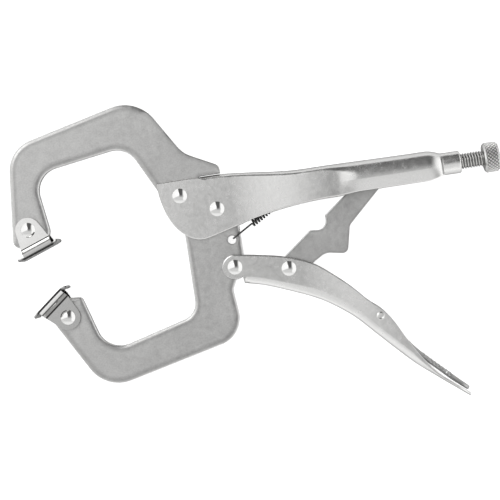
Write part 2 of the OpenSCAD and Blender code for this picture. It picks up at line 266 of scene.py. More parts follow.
def inward_of(points):
    """The mitred inward direction at each point of an anticlockwise outline."""
    out = []
    n = len(points)
    for i in range(n):
        a, b, c = points[i - 1], points[i], points[(i + 1) % n]
        u, v = unit((b[0] - a[0], b[1] - a[1])), unit((c[0] - b[0], c[1] - b[1]))
        m = (-(u[1] + v[1]), u[0] + v[0])
        k = 2 / max(0.8, m[0] ** 2 + m[1] ** 2)
        out.append((m[0] * k, m[1] * k))
    return out


ROLL_STEPS = 6
ROLL_DEPTH = 0.5


def plate(name, outline, holes, t, body, material, bevel, fade=1.8, hole_bevel=0.3, **more):
    """Flat plate with rolled edges, centred on the mid-plane. Holes are (centre, radius).
    ROLL_DEPTH is the roll's height over its width, and fade the width of the band inside it."""
    outer = dense(outline)
    if area(outer) < 0:
        outer.reverse()

    def room(p):
        """How far in an edge's bands may reach before they meet a hole's."""
        return min(math.hypot(p[0] - c[0], p[1] - c[1]) - r - hole_bevel - 0.8 for c, r in holes)

    def width(p):
        return min(bevel(p) if callable(bevel) else bevel, room(p) - 0.4)

    widths = edge_widths(outer, width)
    wide = edge_widths(outer, lambda p: min(width(p) + fade, room(p)))
    loops = [(outer, widths, [max(a, b + 0.05) for a, b in zip(wide, widths)], ROLL_DEPTH)]
    for centre, r in holes:
        ring = circle(centre, r)[::-1]
        loops.append((ring, [hole_bevel] * len(ring), [hole_bevel + 0.6] * len(ring), 1.0))
    turns = [90 * k / ROLL_STEPS for k in range(ROLL_STEPS, -1, -1)]
    # Each level is an angle round the roll (None for the band's inner line) and a side
    levels = [(None, 1)] + [(a, 1) for a in turns]
    levels += [(a, -1) for a in reversed(turns)] + [(None, -1)]
    verts, normals, marks, painted_shade, faces, caps = [], [], [], [], [], [[], []]
    for points, edge, fades, high in loops:
        n = len(points)
        inward = inward_of(points)
        first = len(verts)
        for a, side in levels:
            s, c = (1, 0) if a is None else (math.sin(math.radians(a)), math.cos(math.radians(a)))
            for p, w, f, m in zip(points, edge, fades, inward):
                inset = f if a is None else w * (1 - c)
                z = side * (t / 2 - w * high * (1 - s))
                verts.append((p[0] + m[0] * inset, p[1] + m[1] * inset, z))
                flat = unit(m)
                k = math.hypot(c * high, s)
                normals.append((-flat[0] * c * high / k, -flat[1] * c * high / k, side * s / k))
                marks.append(1.0 if a is not None and a < 40 else 0.0)
                # Painted shade: the roll's rounding next to the flat faces is darkened, all round
                # the outline and the holes
                painted_shade.append(0.0 if a is None else ramp(a, 20, 80))
        for k in range(len(levels) - 1):
            for i in range(n):
                j = (i + 1) % n
                p, q = first + k * n, first + (k + 1) * n
                faces.append((p + i, q + i, q + j, p + j))
        caps[0].append(range(first, first + n))
        caps[1].append(range(first + (len(levels) - 1) * n, first + len(levels) * n))
    for side, cap in enumerate(caps):
        index = [i for ring in cap for i in ring]
        rims = [[Vector(verts[i][:2] + (0,)) for i in ring] for ring in cap]
        for tri in tessellate_polygon(rims):
            ids = [index[k] for k in tri]
            if (area([verts[i] for i in ids]) > 0) == (side == 1):
                ids.reverse()
            faces.append(tuple(ids))
    piece(name, verts, faces, body, material, normals=normals, marks=marks, painted_shade=painted_shade,
          turn_out=False, **more)


def band(a, b, n):
    """Faces between two rings of n points, which start at the indices a and b."""
    return [(a + k, a + (k + 1) % n, b + (k + 1) % n, b + k) for k in range(n)]


def loft(rings, caps=None):
    """Skin over rings with the same number of points. caps are an end's faces, as ring indices."""
    n = len(rings[0])
    verts = [p for ring in rings for p in ring]
    faces = []
    last = (len(rings) - 1) * n
    for k in range(0, last, n):
        faces += band(k, k + n, n)
    for face in caps or [tuple(range(n))]:
        faces.append(tuple(reversed(face)))
        faces.append(tuple(last + i for i in face))
    return verts, faces


def lathe(profile, n=48):
    """Closed solid of revolution about Z from (r, z) points; the first and last lie on the axis."""
    verts, faces = [(0, 0, profile[0][1])], []
    body = profile[1:-1]
    for r, z in body:
        verts += [(x, y, z) for x, y in circle((0, 0), r, n)]
    verts.append((0, 0, profile[-1][1]))
    top = len(verts) - 1
    last = top - n
    for k in range(n):
        j = (k + 1) % n
        faces += [(0, 1 + j, 1 + k), (last + k, last + j, top)]
    for a in range(1, last, n):
        faces += band(a, a + n, n)
    return verts, faces


def moved(verts, matrix):
    return [tuple(matrix @ Vector(v)) for v in verts]


def joined(parts):
    """Several (verts, faces) as one."""
    verts, faces = [], []
    for v, f in parts:
        k = len(verts)
        verts += list(v)
        faces += [tuple(i + k for i in face) for face in f]
    return verts, faces


def tube(points, r, sides):
    """Round wire along a list of points, with closed ends."""
    points = [Vector(p) for p in points]
    side = None
    rings = []
    for i, p in enumerate(points):
        a, b = points[max(0, i - 1)], points[min(len(points) - 1, i + 1)]
        heading = (b - a).normalized()
        if side is None:
            side = heading.orthogonal().normalized()
        side = (side - heading * side.dot(heading)).normalized()
        up = heading.cross(side)
        turns = [2 * math.pi * k / sides for k in range(sides)]
        rings.append([tuple(p + side * r * math.cos(a) + up * r * math.sin(a)) for a in turns])
    return loft(rings)


def cut(target, verts, faces):
    """Takes a solid out of a piece."""
    tool = piece("cutter", verts, faces, None, target.data.materials[0])
    modifier = target.modifiers.new("cut", "BOOLEAN")
    modifier.operation, modifier.solver, modifier.object = "DIFFERENCE", "EXACT", tool
    bpy.context.view_layer.update()
    shown = target.evaluated_get(bpy.context.evaluated_depsgraph_get())
    result = bpy.data.meshes.new_from_object(shown)
    target.modifiers.clear()
    target.data = result
    bpy.data.objects.remove(tool)


def block(lo, hi):
    x0, y0, z0 = lo
    x1, y1, z1 = hi
    corners = ((x0, y0), (x1, y0), (x1, y1), (x0, y1))
    verts = [(x, y, z) for z in (z0, z1) for x, y in corners]
    faces = [(3, 2, 1, 0), (4, 5, 6, 7), (0, 1, 5, 4), (1, 2, 6, 5), (2, 3, 7, 6), (3, 0, 4, 7)]
    return verts, faces


# ---------- materials ----------


class Nodes:
    """Short names for building a node tree."""

    def __init__(self, tree):
        self.tree = tree
        tree.nodes.clear()

    def add(self, kind, **values):
        node = self.tree.nodes.new(kind)
        for key, value in values.items():
            if hasattr(node, key):
                setattr(node, key, value)
            else:
                node.inputs[key.replace("_", " ")].default_value = value
        return node

    def link(self, a, b):
        self.tree.links.new(a, b)

    def noise(self, vector, scale, detail=3.0, rough=0.55):
        node = self.add("ShaderNodeTexNoise", Scale=scale, Detail=detail, Roughness=rough)
        self.link(vector, node.inputs["Vector"])
        return node.outputs["Fac"]

    def span(self, value, a, b, c, d, smooth=False):
        node = self.add("ShaderNodeMapRange")
        if smooth:
            node.interpolation_type = "SMOOTHSTEP"
        for key, number in zip(("From Min", "From Max", "To Min", "To Max"), (a, b, c, d)):
            node.inputs[key].default_value = number
        self.link(value, node.inputs["Value"])
        return node.outputs["Result"]

    def math(self, operation, a, b=None):
        node = self.add("ShaderNodeMath", operation=operation)
        for socket, value in zip(node.inputs, (a, b)):
            if value is None:
                continue
            if isinstance(value, (int, float)):
                socket.default_value = value
            else:
                self.link(value, socket)
        return node.outputs[0]


CLOUD_SCALE, WAVE_SCALE = 55, 260
BUMP_HEIGHT = 0.00004
GREEN_TINT, BLUE_TINT = 0.997, 0.985
SPECULAR_TINT = 0.45


def metal(name, tone, rough, grain=0.05, mottle=0.04, grain_scale=900, bump=0.25, edge_tone=1.06,
          edge_rough=0.8, waves=0.0, painted_shade_tone=0.84):
    """Plated steel: cloudy tone, fine grain in tone, roughness and height, brighter edges, and
    painted shade that darkens the colour where the mesh asks for it.
    """
    material = bpy.data.materials.new(name)
    material.use_nodes = True
    n = Nodes(material.node_tree)
    out = n.add("ShaderNodeOutputMaterial")
    shader = n.add("ShaderNodeBsdfPrincipled", Metallic=1.0)
    shader.inputs["Specular Tint"].default_value = (*[SPECULAR_TINT] * 3, 1)
    n.link(shader.outputs[0], out.inputs[0])
    place = n.add("ShaderNodeTexCoord").outputs["Object"]
    cloud = n.noise(place, CLOUD_SCALE, 4.0, 0.6)
    fine = n.noise(place, grain_scale, 2.0, 0.6)
    coarse = n.noise(place, grain_scale * 0.33, 3.0, 0.65)
    edge = n.add("ShaderNodeAttribute", attribute_name="edge").outputs["Fac"]
    value = n.math("ADD", n.span(cloud, 0.3, 0.7, tone - mottle, tone + mottle),
                   n.span(fine, 0.25, 0.75, -grain, grain))
    value = n.math("ADD", value, n.span(coarse, 0.3, 0.7, -grain * 0.6, grain * 0.6))
    value = n.math("MULTIPLY", value, n.span(edge, 0, 1, 1.0, edge_tone))
    # Painted shade: the colour is darkened where the mesh's shade attribute is 1, down to the
    # material's shade tone
    painted_shade = n.add("ShaderNodeAttribute", attribute_name="painted_shade").outputs["Fac"]
    value = n.math("MULTIPLY", value, n.span(painted_shade, 0, 1, 1.0, painted_shade_tone))
    colour = n.add("ShaderNodeCombineColor")
    n.link(value, colour.inputs[0])
    n.link(n.math("MULTIPLY", value, GREEN_TINT), colour.inputs[1])
    n.link(n.math("MULTIPLY", value, BLUE_TINT), colour.inputs[2])
    n.link(colour.outputs[0], shader.inputs["Base Color"])
    roughness = n.math("ADD", n.span(cloud, 0.3, 0.7, rough * 0.9, rough * 1.1),
                       n.span(coarse, 0.3, 0.7, -rough * 0.18, rough * 0.18))
    roughness = n.math("MULTIPLY", roughness, n.span(edge, 0, 1, 1.0, edge_rough))
    n.link(roughness, shader.inputs["Roughness"])
    height = n.math("ADD", n.math("MULTIPLY", fine, 0.5), coarse)
    if waves:
        wave = n.noise(place, WAVE_SCALE, 2.0, 0.5)
        height = n.math("ADD", height, n.math("MULTIPLY", wave, waves))
    bumps = n.add("ShaderNodeBump", Strength=bump, Distance=BUMP_HEIGHT)
    n.link(height, bumps.inputs["Height"])
    n.link(bumps.outputs[0], shader.inputs["Normal"])
    return material


# A finish's shade tone sets how dark the painted shade makes its colour: near black on the pads and
# the screw
JAW_STEEL = metal("jaw_plated", 0.64, 0.40, grain=0.06, mottle=0.02, grain_scale=1100, bump=0.6,
                  edge_tone=1.3, edge_rough=0.75, painted_shade_tone=0.78)
HANDLE_STEEL = metal("handle_plated", 0.95, 0.24, grain=0.03, mottle=0.02, grain_scale=1000,
                     bump=0.35, waves=1.5)
LINK_STEEL = metal("link_plated", 0.615, 0.40, grain=0.04, mottle=0.02, grain_scale=1100, bump=0.5)
PAD_STEEL = metal("pad_plated", 0.84, 0.14, grain=0.02, mottle=0.02, bump=0.2, painted_shade_tone=0.06)
RIVET_STEEL = metal("rivet_polished", 0.90, 0.07, grain=0.01, mottle=0.01, bump=0.05)
SCREW_STEEL = metal("screw_plated", 0.86, 0.22, grain=0.04, mottle=0.03, bump=0.3, painted_shade_tone=0.10)
LEVER_STEEL = metal("lever_plated", 0.57, 0.28, grain=0.03, mottle=0.03, bump=0.3)
SPRING_STEEL = metal("spring_oiled", 0.09, 0.35, grain=0.02, mottle=0.02, bump=0.2, edge_tone=1.0)


# ---------- jaws ----------

# Corners are (x, y, radius)
upper_corners = [
    (-119.58, -6.4, 4.5), (-113.88, 51.88, 19), (-36.6, 70.57, 21.7), (-14.7, 34.7, 17),
    (4.8, 24.75, 3.5), (4.8, 20.2, 0.6), (-7.6, 20.2, 0.6), (-7.6, 9.3, 0.5),
    (-23.4, -6.2, 2), (-32, 14.5, 30), (-46.6, 43.6, 13.5), (-101.7, 35.2, 13.5),
    (-96.2, -3.6, 7),
]


def upper_jaw_bevel(p):
    """The beak over the handle and the hidden foot have small edges."""
    if p[1] < 21 and p[0] > -27:
        return 0.5
    return 0.9 if p[0] > -33 and p[1] > 16 else 2.6


plate("upper_jaw_plate", rounded(upper_corners),
      [(JAW_RIVET, RIVET_HOLE_R), (UPPER_PAD, RIVET_HOLE_R)], JAW_T, "upper_frame", JAW_STEEL,
      bevel=upper_jaw_bevel, replaces=["upper_jaw"], slot="jaw_steel")

EYE_R = 11.2
jaw_corner = (-20.5, -11.5)
eye_start = touch(jaw_corner, (0, 0), EYE_R, -1)
lower_corners = [
    (*eye_start, 0), (*jaw_corner, 1), (-20.4, -58.3, 10.4), (-74.5, -72.7, 13.9),
    (-84.6, -38.6, 2.5), (-97.5, -37.5, 7), (-105.6, -45.6, 6), (-78.4, -93.8, 20.5),
    (5, -74.3, 16), (2.2, -47.5, 4), (5.2, -41.3, 2), (EYE_R, -41, 5), (EYE_R, 0, 0),
]
jaw_eye = arc((0, 0), EYE_R, 0, angle_of(eye_start, (0, 0)))[1:-1]
plate("lower_jaw_plate", jaw_eye + rounded(lower_corners),
      [((0, 0), RIVET_HOLE_R), (HANDLE_PIVOT, RIVET_HOLE_R), (SPRING_HOLE, SPRING_HOLE_R),
       (LOWER_PAD, RIVET_HOLE_R)], JAW_T, "moving_jaw", JAW_STEEL, bevel=2.2, hole_bevel=0.35,
      replaces=["lower_jaw"], slot="jaw_steel")


# ---------- formed handles ----------


ROUND_BEND = [(math.sin(math.radians(a)), 1 - math.cos(math.radians(a)))
              for a in (5, 10, 16, 22, 29, 36, 44, 52, 61, 70, 79, 90)]
FLAT_BEND = [(0.06, 0.004), (0.13, 0.014), (0.22, 0.034), (0.34, 0.070), (0.48, 0.118),
             (0.62, 0.172), (0.74, 0.226), (0.84, 0.290), (0.91, 0.380), (0.96, 0.520),
             (0.99, 0.740), (1.0, 1.0)]


def channel(x, w, back, web, edge, t, web_t, w_edge=None, crease=None, lip=0.7, flat=0.0):
    """One section at x. The bend is back deep, from the wall at half width w to the web's
    middle: a quarter ellipse, or flatter with flat up to 1. The walls end in rounded lips.
    w_edge is the half width at the open edge, and the walls lean below the height crease."""
    s = 1 if web > edge else -1
    tall = abs(web - edge)
    lip = min(lip, 0.3 * tall)
    back = min(back, 0.55 * tall)
    floor_t = min(web_t, 0.5 * tall)
    w_edge = w if w_edge is None else w_edge
    base, low = web - s * back, edge + s * lip
    high = abs(base - low)
    near = min(0.3, 0.08 * high)
    fold = high / 2 if crease is None else max(3 * near, min(s * (crease - low), high - 3 * near))
    outer = [(w_edge - lip + lip * math.sin(a), edge + s * lip * (1 - math.cos(a)))
             for a in map(math.radians, (0, 22, 45, 68, 90))]
    for up in (near, fold / 2, fold - near, fold + near, high - near):
        outer.append((w_edge + (w - w_edge) * min(1.0, up / fold), low + s * up))
    bend = [(a + (c - a) * flat, b + (d - b) * flat)
            for (a, b), (c, d) in zip(ROUND_BEND, FLAT_BEND)]
    outer += [(w, base)] + [(w * (1 - b), base + s * back * a) for a, b in bend[:-1]]
    inner_back = min(max(back - floor_t, 0.12 * tall), 0.8 * (tall - floor_t))
    inner_base = web - s * (floor_t + inner_back)
    wi, wie = max(w - t, 0.3), max(w_edge - t, 0.3)
    inner = [(wie + min(0.3, t / 3), edge), (wie, edge + s * min(0.3, 0.1 * tall)),
             (wi, inner_base)]
    inner += [(wi * math.cos(a), inner_base + s * inner_back * math.sin(a))
              for a in map(math.radians, (15, 30, 45, 60, 75))]
    outside = outer + [(0, web)] + [(-z, y) for z, y in reversed(outer)]
    inside = inner + [(0, inner_base + s * inner_back)] + [(-z, y) for z, y in reversed(inner)]
    return [(x, y, z) for z, y in outside + inside[::-1]]


# Points round a section, outside and inside: two walls and the web's middle
OUTER_N = 2 * 22 + 1
INNER_N = 2 * 8 + 1


def strip(lower, upper, lower_next):
    """Triangles between two rows of indices. lower_next(i, j) tells whether the next step is
    along the lower row."""
    faces = []
    i = j = 0
    while i < len(lower) - 1 or j < len(upper) - 1:
        if j == len(upper) - 1 or (i < len(lower) - 1 and lower_next(i, j)):
            faces.append((lower[i], lower[i + 1], upper[j]))
            i += 1
        else:
            faces.append((lower[i], upper[j + 1], upper[j]))
            j += 1
    return faces


def channel_caps():
    """An end's faces: a strip between the outer points and the inner ones."""
    outer = range(OUTER_N)
    inner = range(OUTER_N + INNER_N - 1, OUTER_N - 1, -1)
    return strip(outer, inner, lambda i, j: (i + 1) / (OUTER_N - 1) <= (j + 1) / (INNER_N - 1))


def steps(a, b, size):
    """Numbers from a to b, about size apart."""
    n = max(1, round((b - a) / size))
    return [a + (b - a) * k / n for k in range(n + 1)]


def formed_handle(name, node, body, ring_at, xs, slot_lo, slot_hi):
    """A channel through its sections, with the jaw's slot cut through its solid end."""
    skin = loft([ring_at(x) for x in xs], channel_caps())
    made = piece(name, *skin, body, HANDLE_STEEL, replaces=[node], slot="handle_steel")
    cut(made, *block(slot_lo, slot_hi))
    made.data.shade_smooth()
    made.data.set_sharp_from_angle(angle=math.radians(38))


def eye_xs(centre_x, r, angles):
    """Section places round an end of radius r, at angles from the middle."""
    return [centre_x - r * math.sin(math.radians(a)) for a in angles]


# Upper handle
NOSE_X, NOSE_A, NOSE_B = -10.0, 22.3, 34.8
NOSE_ANGLES = (88.5, 86, 83, 79, 74, 68, 62, 55, 48, 41, 34, 27, 20, 13, 6)
WEB_START = -7.0
EDGE_FRONT, EDGE_MIDDLE = -16.2, -3.3
FLARE = 2.4
SHOULDER_X, BARREL_END, NECK_END, NECK_R = 123.0, 131.0, 142.6, 6.5


def shoulder(x):
    """0 along the barrel, rounding over to 1 at the neck."""
    part = min(1.0, max(0.0, (x - SHOULDER_X) / (BARREL_END + 0.2 - SHOULDER_X)))
    return part ** 1.8


def upper_web(x):
    """Height of the web's outer face, down to the barrel's top and the neck's."""
    return (19.7 - 4.1 * ramp(x, 0, 52) - (15.6 - SCREW_Y - BARREL_R) * ramp(x, 60, 118)
            - (BARREL_R - NECK_R - 0.1) * shoulder(x))


def upper_edge(x):
    """Height of the open edge: round nose, rising belly, then the barrel's straight side."""
    if x < NOSE_X:
        return EDGE_FRONT + NOSE_B * (1 - math.sqrt(max(0, 1 - ((NOSE_X - x) / NOSE_A) ** 2)))
    if x < 15:
        return EDGE_FRONT + 0.27 * (x - NOSE_X) ** 2 / (x - NOSE_X + 2.5)
    if x < 66:
        return EDGE_MIDDLE - 6.6 * ((66 - x) / 51) ** 1.9
    return EDGE_MIDDLE + ramp(x, 69, 84) + 1.8 * shoulder(x)


def upper_w(x):
    """Outer half width: jaw cheeks, flared middle, barrel, neck."""
    return (PLATE_W + FLARE * ramp(x, 9, 66) + (BARREL_R - PLATE_W - FLARE) * ramp(x, 70, 84)
            - (BARREL_R - NECK_R - 0.1) * shoulder(x))


def upper_back(x):
    """Depth of the bend between wall and web."""
    return (0.8 + 1.8 * ramp(x, -8.5, -4) + 0.8 * ramp(x, 15, 50)
            + (BARREL_R - 3.4) * ramp(x, 65, 86) - (BARREL_R - NECK_R) * shoulder(x))


def upper_ring(x):
    w = upper_w(x)
    lean = 1.5 * ramp(x, 71, 87) * (1 - ramp(x, 122, BARREL_END))
    return channel(x, w, upper_back(x), upper_web(x), upper_edge(x), SHEET_T, SHEET_T,
                   w_edge=w - lean, crease=4.6)


upper_xs = (
    eye_xs(NOSE_X, NOSE_A, NOSE_ANGLES) + steps(NOSE_X, 60, 1.25) + steps(61, 91, 0.9)
    + steps(93, 117, 3) + steps(119, SHOULDER_X, 1.6)
    + steps(SHOULDER_X + 0.4, BARREL_END + 0.2, 0.45) + [BARREL_END + 1]
)
formed_handle("upper_handle_shell", "upper_handle", "upper_frame", upper_ring, upper_xs,
              (-40, -30, -INNER_W), (WEB_START, 30, INNER_W))

NECK_BORE_R = 4.81
NECK_START = 120.0
NECK_SIDES = 72
SEAM_DEPTH, SEAM_HALF_ANGLE = 0.35, 3.0


def neck_and_seat():
    """The closed end behind the barrel, and the round neck that carries the thread."""
    inset = 0.35
    rings = []
    for x in steps(126, BARREL_END + 0.6, 0.8):
        w = upper_w(x) - inset
        ring = channel(x, w, upper_back(x) - inset, upper_web(x) - inset, upper_edge(x) + 0.4, 1, 1,
                       w_edge=w - 1.2 * (1 - ramp(x, 122, BARREL_END)))
        rings.append(ring[:OUTER_N])
    profile = [
        (NECK_R - 0.9, NECK_START), (NECK_R - 0.9, 129.0), (NECK_R, BARREL_END), (NECK_R, 133),
        (NECK_R, 136), (NECK_R, 139), (NECK_R, NECK_END - 0.8), (NECK_R - 0.1, NECK_END - 0.35),
        (NECK_R - 0.5, NECK_END), (NECK_BORE_R + 0.5, NECK_END), (NECK_BORE_R, NECK_END - 0.5),
        (NECK_BORE_R, NECK_START),
    ]
    verts = []
    for r, x in profile:
        for k in range(NECK_SIDES):
            a = 2 * math.pi * k / NECK_SIDES
            dip = 0.0
            if r > NECK_R - 0.2 and x > BARREL_END - 0.5:
                # Seam of the rolled sheet, near the top and slightly askew
                seam = 84 - 9 * (x - BARREL_END) / (NECK_END - BARREL_END)
                gap = abs(math.degrees(a) - seam)
                dip = SEAM_DEPTH * math.exp(-(gap / SEAM_HALF_ANGLE) ** 2)
            verts.append((x, SCREW_Y + (r - dip) * math.cos(a), (r - dip) * math.sin(a)))
    faces = []
    for i in range(len(profile)):
        after = (i + 1) % len(profile)
        faces += band(i * NECK_SIDES, after * NECK_SIDES, NECK_SIDES)
    return joined([loft(rings), (verts, faces)])


piece("upper_handle_neck", *neck_and_seat(), "upper_frame", HANDLE_STEEL, slot="handle_steel",
      angle=50)

# Lower handle
HANDLE_EYE_R = 7.3
EYE_ANGLES = (87, 83, 78, 72, 65, 57, 49, 40, 31, 22, 13, 5)
WEB_TAIL = 9.4
TAIL_START, TAIL_END = 120.0, 128.4
lower_top = [
    (HANDLE_PIVOT[0], HANDLE_PIVOT[1] + HANDLE_EYE_R), (20, -29.8), (35, -33), (50, -39.1),
    (60, -46.6), (70, -55.6), (78, -64.3), (85, -70.4), (91, -78.8), (97, -90.4), (104, -102),
    (112, -112), (120, -119.1), (TAIL_END, -125.9),
]
lower_web = [
    (9, -44.5), (20, -47.3), (35, -53), (50, -59.7), (60, -66), (70, -74), (80, -84.5), (90, -95),
    (100, -105), (110, -113.4), (120, -121.5), (TAIL_END, -128.2),
]


def eye_y(x, side):
    half = math.sqrt(max(0.04, HANDLE_EYE_R ** 2 - (x - HANDLE_PIVOT[0]) ** 2))
    return HANDLE_PIVOT[1] + side * half


def handle_top(x):
    return eye_y(x, 1) if x < HANDLE_PIVOT[0] else curve(lower_top, x)


def handle_web(x):
    return eye_y(x, -1) if x < WEB_TAIL else curve(lower_web, x)


def handle_w(x):
    w = PLATE_W + (GRIP_W - PLATE_W) * ramp(x, 42, 102)
    if x > TAIL_START:
        w *= math.sqrt(1 - 0.7 * ((x - TAIL_START) / (TAIL_END - TAIL_START)) ** 2)
    return w


def handle_back(x):
    return 0.6 + 3.6 * ramp(x, WEB_TAIL - 0.4, WEB_TAIL + 1.6) + 1.6 * ramp(x, 20, 60)


def lower_ring(x):
    t = SHEET_T * (1 - 0.2 * ramp(x, 100, 118))
    if x < WEB_TAIL:
        web_t = SHEET_T / 2
    else:
        slope = curve(lower_web, x + 0.5) - curve(lower_web, x - 0.5)
        web_t = SHEET_T * (1 - 0.25 * ramp(x, 100, 118)) * math.hypot(1, slope)
    return channel(x, handle_w(x), handle_back(x), handle_web(x), handle_top(x), t, web_t,
                   lip=0.8, flat=ramp(x, WEB_TAIL, WEB_TAIL + 4) * (1 - ramp(x, 100, 120)))


lower_xs = (
    eye_xs(HANDLE_PIVOT[0], HANDLE_EYE_R, EYE_ANGLES)
    + steps(HANDLE_PIVOT[0], WEB_TAIL - 0.5, 0.9) + steps(WEB_TAIL, WEB_TAIL + 2, 0.3)
    + steps(WEB_TAIL + 3, TAIL_START, 1.4) + steps(TAIL_START + 1, TAIL_END, 1)
)
formed_handle("lower_handle_shell", "lower_handle", "moving_handle", lower_ring, lower_xs,
              (-10, -60, -INNER_W), (WEB_TAIL, -20, INNER_W))


# ---------- toggle link ----------

LINK_EYE_R, LINK_TIP_R = 6.5, 4.5
link_upper, link_lower = (51, -20.2), (58, -34.2)
link_bevel, link_flank = (73.6, -3.4), (74.3, -20.6)
eye_top = touch(link_upper, LINK_PIVOT, LINK_EYE_R, 1)
eye_low = touch(link_lower, LINK_PIVOT, LINK_EYE_R, -1)
tip_top = touch(link_bevel, LINK_END, LINK_TIP_R, -1)
tip_low = touch(link_flank, LINK_END, LINK_TIP_R, 1)
link_sides = rounded([
    (*eye_top, 0), (*link_upper, 0.8), (61.4, -21.3, 5.5), (61, -12.9, 0.8), (*link_bevel, 2),
    (*tip_top, 0), (*tip_low, 0), (*link_flank, 5), (70.8, -36.6, 3.6), (*link_lower, 8),
    (*eye_low, 0),
])
split = link_sides.index(tip_top) + 1


def clockwise_end(start, end, centre, r):
    """The points between two others, clockwise round an end of radius r."""
    a0, a1 = angle_of(start, centre), angle_of(end, centre)
    return arc(centre, r, a0, a1 - (360 if a1 > a0 else 0))[1:-1]


link_outline = (
    link_sides[:split] + clockwise_end(tip_top, tip_low, LINK_END, LINK_TIP_R)
    + link_sides[split:] + clockwise_end(eye_low, eye_top, LINK_PIVOT, LINK_EYE_R)
)
plate("toggle_link_plate", link_outline, [(LINK_PIVOT, RIVET_HOLE_R)], LINK_T, "link", LINK_STEEL,
      bevel=0.6, fade=1.0, replaces=["toggle_link"], slot="link_steel")


# ---------- release lever ----------

lever_corners = [
    (67.2, -59.4, 1.2), (76.5, -67.4, 8), (84.6, -69.6, 4), (90.2, -81, 8), (100, -95, 12),
    (115, -110.2, 20), (127.2, -122, 1), (128.4, -123.7, 0.8), (127, -124.3, 0.6),
    (119, -117.5, 10), (112, -110.6, 10), (100, -99, 12), (86, -82, 8), (77, -74, 8),
    (68.2, -65, 1.5),
]
plate("release_lever_body", rounded(lever_corners), [(LEVER_PIVOT, PIN_HOLE_R)], LEVER_T, "lever",
      LEVER_STEEL, bevel=0.5, fade=0.5, hole_bevel=0.2, replaces=["release_lever"],
      slot="handle_steel")

tail_line = [(96.6, -90.6), (100, -95.3), (104, -99.8), (108, -103.9), (112, -107.8),
             (116, -111.6), (120, -115.4), (124, -119.2), (127.2, -122.2), (128.3, -123.4)]
# Across the tail: (z over the half width, height)
tail_section = [(-1, -1.0), (-1, 0.1), (-0.93, 0.42), (-0.75, 0.62), (-0.4, 0.75), (0, 0.8),
                (0.4, 0.75), (0.75, 0.62), (0.93, 0.42), (1, 0.1), (1, -1.0), (0.9, -1.15),
                (0, -1.2), (-0.9, -1.15)]
TAIL_W = 5.3
RIDGE_H, RIDGE_PITCH = 0.32, 1.9
RIDGES_START, RIDGES_END = 104, 120


def lever_tail():
    """The wide finger plate: a strip along the tail with a crown, cross ridges and a rolled end."""
    rings = []
    for x in steps(97.0, 128.2, 0.45):
        y = curve(tail_line, x)
        slope = curve(tail_line, min(x + 0.4, 128.3)) - curve(tail_line, x - 0.4)
        nx, ny = unit((-slope / 0.8, 1.0))
        w = TAIL_W * math.sqrt(max(0.02, min(1.0, (x - 96.4) / 3.0)))
        w *= math.sqrt(max(0.12, 1 - max(0, (x - 124.5) / 4.2) ** 2))
        ridge = 0.0
        if RIDGES_START < x < RIDGES_END:
            phase = (x - RIDGES_START - 0.9) * 2 * math.pi / RIDGE_PITCH
            ridge = RIDGE_H * max(0.0, math.cos(phase))
        ring = []
        for z, h in tail_section:
            high = h + (ridge if h > 0.5 else 0)
            ring.append((x + nx * high, y + ny * high, z * (w - (ridge if h < 0.2 else 0))))
        rings.append(ring)
    return loft(rings)


piece("release_lever_tail", *lever_tail(), "lever", LEVER_STEEL, slot="handle_steel", angle=35)


# ---------- rivets ----------


SHANK_R, HEAD_R, HEAD_H = 3.0, 4.2, 1.9
DOME_STEPS = 12


def both_ends(half, n):
    """A solid of revolution from the (r, z) points of its upper half, outwards to the axis."""
    return lathe([(r, -z) for r, z in reversed(half)] + half, n)


def rivet(node, centre, grip, body):
    """Domed head at each end, with a small flare where the head meets the sheet."""
    dome = (HEAD_R * HEAD_R + HEAD_H * HEAD_H) / (2 * HEAD_H)
    sweep = math.asin(HEAD_R / dome)
    half = [(SHANK_R, grip - 0.3), (SHANK_R + 0.6, grip), (HEAD_R + 0.02, grip + 0.02)]
    for k in range(1, DOME_STEPS + 1):
        a = sweep * (1 - k / DOME_STEPS)
        half.append((dome * math.sin(a), grip + dome * math.cos(a) - dome + HEAD_H))
    verts, faces = both_ends(half, 56)
    verts = moved(verts, Matrix.Translation((*centre, 0)))
    piece(node + "_dome", verts, faces, body, RIVET_STEEL, replaces=[node], slot="rivet_steel",
          angle=60)


PAD_IN, PAD_OUT = JAW_T / 2 + 0.3, JAW_T / 2 + 1.8
rivet("upper_jaw_rivet", JAW_RIVET, PLATE_W, "upper_frame")
rivet("main_pivot_rivet", (0, 0), PLATE_W, "upper_frame")
rivet("handle_rivet", HANDLE_PIVOT, PLATE_W, "moving_jaw")
rivet("link_rivet", LINK_PIVOT, PLATE_W, "moving_handle")
rivet("upper_pad_rivet", UPPER_PAD, PAD_OUT, "fixed_pad")
rivet("lower_pad_rivet", LOWER_PAD, PAD_OUT, "moving_pad")


def lever_pin():
    """Tubular pin with a rolled rim on each end."""
    w = handle_w(LEVER_PIVOT[0])
    half = [(2.0, w - 0.3), (2.35, w + 0.02)]
    half += arc((1.75, w + 0.05), 0.75, 0, 150, 25)
    half += [(0.9, w - 0.5), (0.8, w - 0.75), (0, w - 0.75)]
    verts, faces = both_ends(half, 40)
    return moved(verts, Matrix.Translation((*LEVER_PIVOT, 0))), faces


piece("lever_pin_rolled", *lever_pin(), "moving_handle", RIVET_STEEL, replaces=["lever_pin"],
      slot="rivet_steel", angle=50)


# ---------- swivel pads ----------


PAD_FACE, PAD_HALF_W = -14.5, 9.5
EAR_R, FOLD_Y, LIP_X = 7.2, -8.5, 9.0
EAR_ANGLES = (2, 8, 15, 23, 31, 39, 47, 55, 63, 71, 80, 90)


def pad_half_length(y):
    """Half length of the folded sheet at height y: a round ear, then straight sides."""
    side = touch((LIP_X, FOLD_Y), (0, 0), EAR_R, 1)
    if y <= FOLD_Y:
        return LIP_X
    if y < side[1]:
        return LIP_X + (side[0] - LIP_X) * (y - FOLD_Y) / (side[1] - FOLD_Y)
    return math.sqrt(max(0.0, EAR_R ** 2 - y * y))


